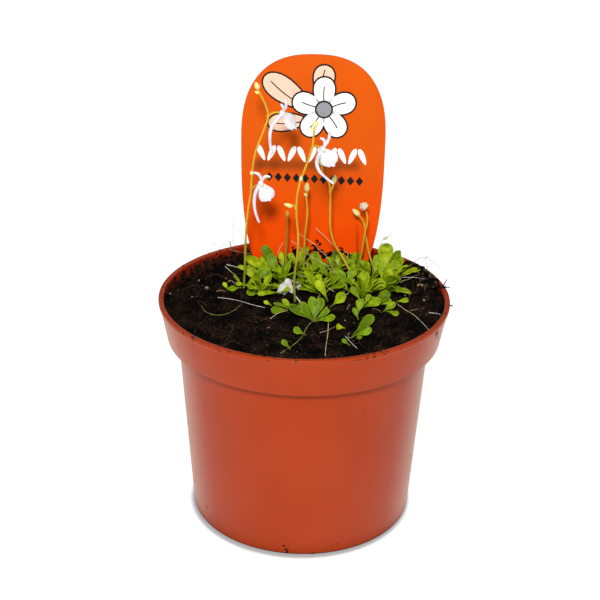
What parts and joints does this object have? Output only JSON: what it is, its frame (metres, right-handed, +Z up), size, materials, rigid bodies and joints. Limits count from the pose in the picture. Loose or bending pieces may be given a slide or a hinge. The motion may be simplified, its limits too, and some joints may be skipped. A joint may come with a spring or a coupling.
{
  "type": "potted bladderwort",
  "caption": "Small potted bladderwort: a tapering plastic pot with a collar, filled with peat, with tufts of spoon-shaped leaves, thin stalks of white spurred flowers and an orange label.",
  "frame": {"origin": "on the pot's axis, at the height of the foot ring that the pot stands on", "axes": "+Z up along the pot's axis, -Y towards the front of the plant, with the label at +Y behind it, +X to the right seen from the front"},
  "size_m": [0.09, 0.09, 0.1389],
  "materials": {
    "pot": "satin",
    "peat": "matte",
    "label": "gloss",
    "leaf": "satin",
    "stalk": "satin",
    "petal": "matte",
    "withered": "matte"
  },
  "bodies": {
    "root": {"flower_fallen": "petal", "flower_left": "petal", "flower_middle": "petal", "flower_top": "petal", "flower_withered": "withered", "label": "label", "peat": "peat", "pot": "pot", "sprig_front": "leaf", "sprig_front_far": "leaf", "sprig_front_left": "leaf", "sprig_front_mid": "leaf", "stalk_bud": "stalk", "stalk_bud_behind": "stalk", "stalk_left": "stalk", "stalk_middle": "stalk", "stalk_right": "stalk", "stalk_right_bud": "stalk", "stalk_withered": "stalk", "tuft_back": "leaf", "tuft_back_left": "leaf", "tuft_back_right": "leaf", "tuft_front": "leaf", "tuft_front_left": "leaf", "tuft_front_right": "leaf", "tuft_front_small": "leaf", "tuft_left": "leaf", "tuft_left_back": "leaf", "tuft_left_inner": "leaf", "tuft_left_outer": "leaf", "tuft_left_small": "leaf", "tuft_middle": "leaf", "tuft_middle_back": "leaf", "tuft_middle_right": "leaf", "tuft_right": "leaf", "tuft_right_back": "leaf", "tuft_right_far": "leaf", "tuft_right_outer": "leaf", "tuft_right_small": "leaf", "tuft_single": "leaf"}
  },
  "joints": []
}
